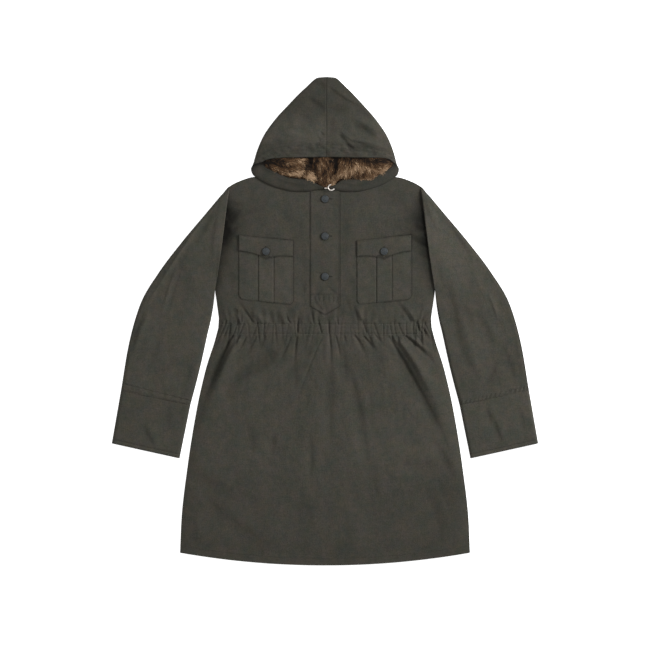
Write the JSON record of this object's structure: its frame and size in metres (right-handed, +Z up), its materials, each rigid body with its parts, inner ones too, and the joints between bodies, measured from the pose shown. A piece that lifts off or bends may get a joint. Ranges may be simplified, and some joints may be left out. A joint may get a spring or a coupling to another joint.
{
  "type": "anorak smock",
  "caption": "Hooded pullover smock of cotton canvas with a gathered waist, two flap pockets, a short placket and a fur-lined hood, laid out flat.",
  "frame": {"origin": "middle of the outline, on the surface that the garment lies on", "axes": "+X across the garment to the viewer's right, +Y from the hem to the hood, +Z up through its layers"},
  "size_m": [0.9594, 1.099, 0.0176],
  "materials": {
    "canvas": "matte",
    "pelt": "matte",
    "fur": "soft pile",
    "button": "satin",
    "wire": "bright"
  },
  "bodies": {
    "root": {"back": "canvas", "front": "canvas", "placket": "canvas", "hood_casing": "canvas", "hood_lining": "pelt", "fur_middle": "fur", "fur_crown": "fur", "sleeve_left": "canvas", "cuff_left": "canvas", "pocket_left": "canvas", "flap_left": "canvas", "hood_left": "canvas", "fur_left": "fur", "flap_button_left": "button", "sleeve_right": "canvas", "cuff_right": "canvas", "pocket_right": "canvas", "flap_right": "canvas", "hood_right": "canvas", "fur_right": "fur", "flap_button_right": "button", "placket_button_top": "button", "placket_button_middle": "button", "placket_button_low": "button", "hook_ring": "wire", "hook_bar": "wire"}
  },
  "joints": []
}
